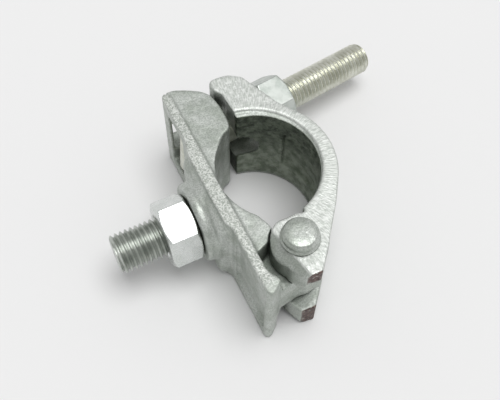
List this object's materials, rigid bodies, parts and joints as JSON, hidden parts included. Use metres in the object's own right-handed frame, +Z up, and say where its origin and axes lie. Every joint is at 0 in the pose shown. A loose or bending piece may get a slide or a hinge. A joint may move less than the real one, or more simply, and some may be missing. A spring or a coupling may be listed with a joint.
{
  "type": "scaffold coupler clamp",
  "caption": "Drop-forged half coupler for 48.3 mm scaffold tube: a base saddle with a threaded mounting bolt, and a hinged flap closed by a swinging T-bolt and nut.",
  "frame": {"origin": "middle of the bounding box in plan, on the surface that the coupler lies on", "axes": "+Z up, along the clamped tube's axis; +X from the mounting bolt through the saddle towards the T-bolt's thread; +Y from the hinge to the T-bolt"},
  "size_m": [0.1386, 0.1056, 0.0468],
  "materials": {
    "forged_galvanised": "hot-dip galvanised drop forging, satin and grainy",
    "rivet_galvanised": "galvanised rivet, smooth satin head",
    "bolt_zinc": "zinc-plated rolled thread, slightly yellowish",
    "nut_zinc": "zinc-plated, semi-bright"
  },
  "bodies": {
    "base": {"base_saddle": "forged_galvanised"},
    "flap": {"flap": "forged_galvanised", "hinge_pin": "rivet_galvanised"},
    "tbolt": {"tbolt": "bolt_zinc"},
    "tbolt_washer": {"tbolt_washer": "nut_zinc"},
    "tbolt_nut": {"tbolt_nut": "nut_zinc"},
    "mounting_bolt": {"mounting_bolt": "bolt_zinc"},
    "mounting_nut": {"mounting_nut": "nut_zinc"}
  },
  "joints": [
    {"name": "tbolt_swing", "type": "hinge", "parent": "base", "child": "tbolt", "pos_m": [-0.0219, 0.02982, 0.021], "axis": [0, 0, 1], "range_deg": [0, 70]},
    {"name": "flap_hinge", "type": "hinge", "parent": "base", "child": "flap", "pos_m": [-0.0095, -0.03768, 0.021], "axis": [0, 0, 1], "range_deg": [-50, 0]},
    {"name": "clamp_nut_travel", "type": "slide", "parent": "tbolt", "child": "tbolt_washer", "axis": [0.9808, 0.18, -0.075], "range_m": [0, 0.04]},
    {"name": "clamp_nut_spin", "type": "hinge", "parent": "tbolt_washer", "child": "tbolt_nut", "pos_m": [0.01733, 0.03703, 0.0177], "axis": [0.9808, 0.18, -0.075], "range_deg": [0, 7200]},
    {"name": "mounting_nut_travel", "type": "slide", "parent": "base", "child": "mounting_nut", "axis": [-1, 0, 0], "range_m": [0, 0.018]},
    {"name": "mounting_bolt_spin", "type": "hinge", "parent": "base", "child": "mounting_bolt", "pos_m": [-0.0454, -0.00448, 0.021], "axis": [1, 0, 0], "range_deg": [0, 3240]}
  ],
  "couplings": [
    {"joint": "flap_hinge", "follows": "tbolt_swing", "ratio": -0.71429},
    {"joint": "clamp_nut_travel", "follows": "tbolt_swing", "m_per_rad": 0.03274},
    {"joint": "clamp_nut_spin", "follows": "tbolt_swing", "ratio": 102.86},
    {"joint": "mounting_bolt_spin", "follows": "mounting_nut_travel", "rad_per_m": 3141.6}
  ]
}
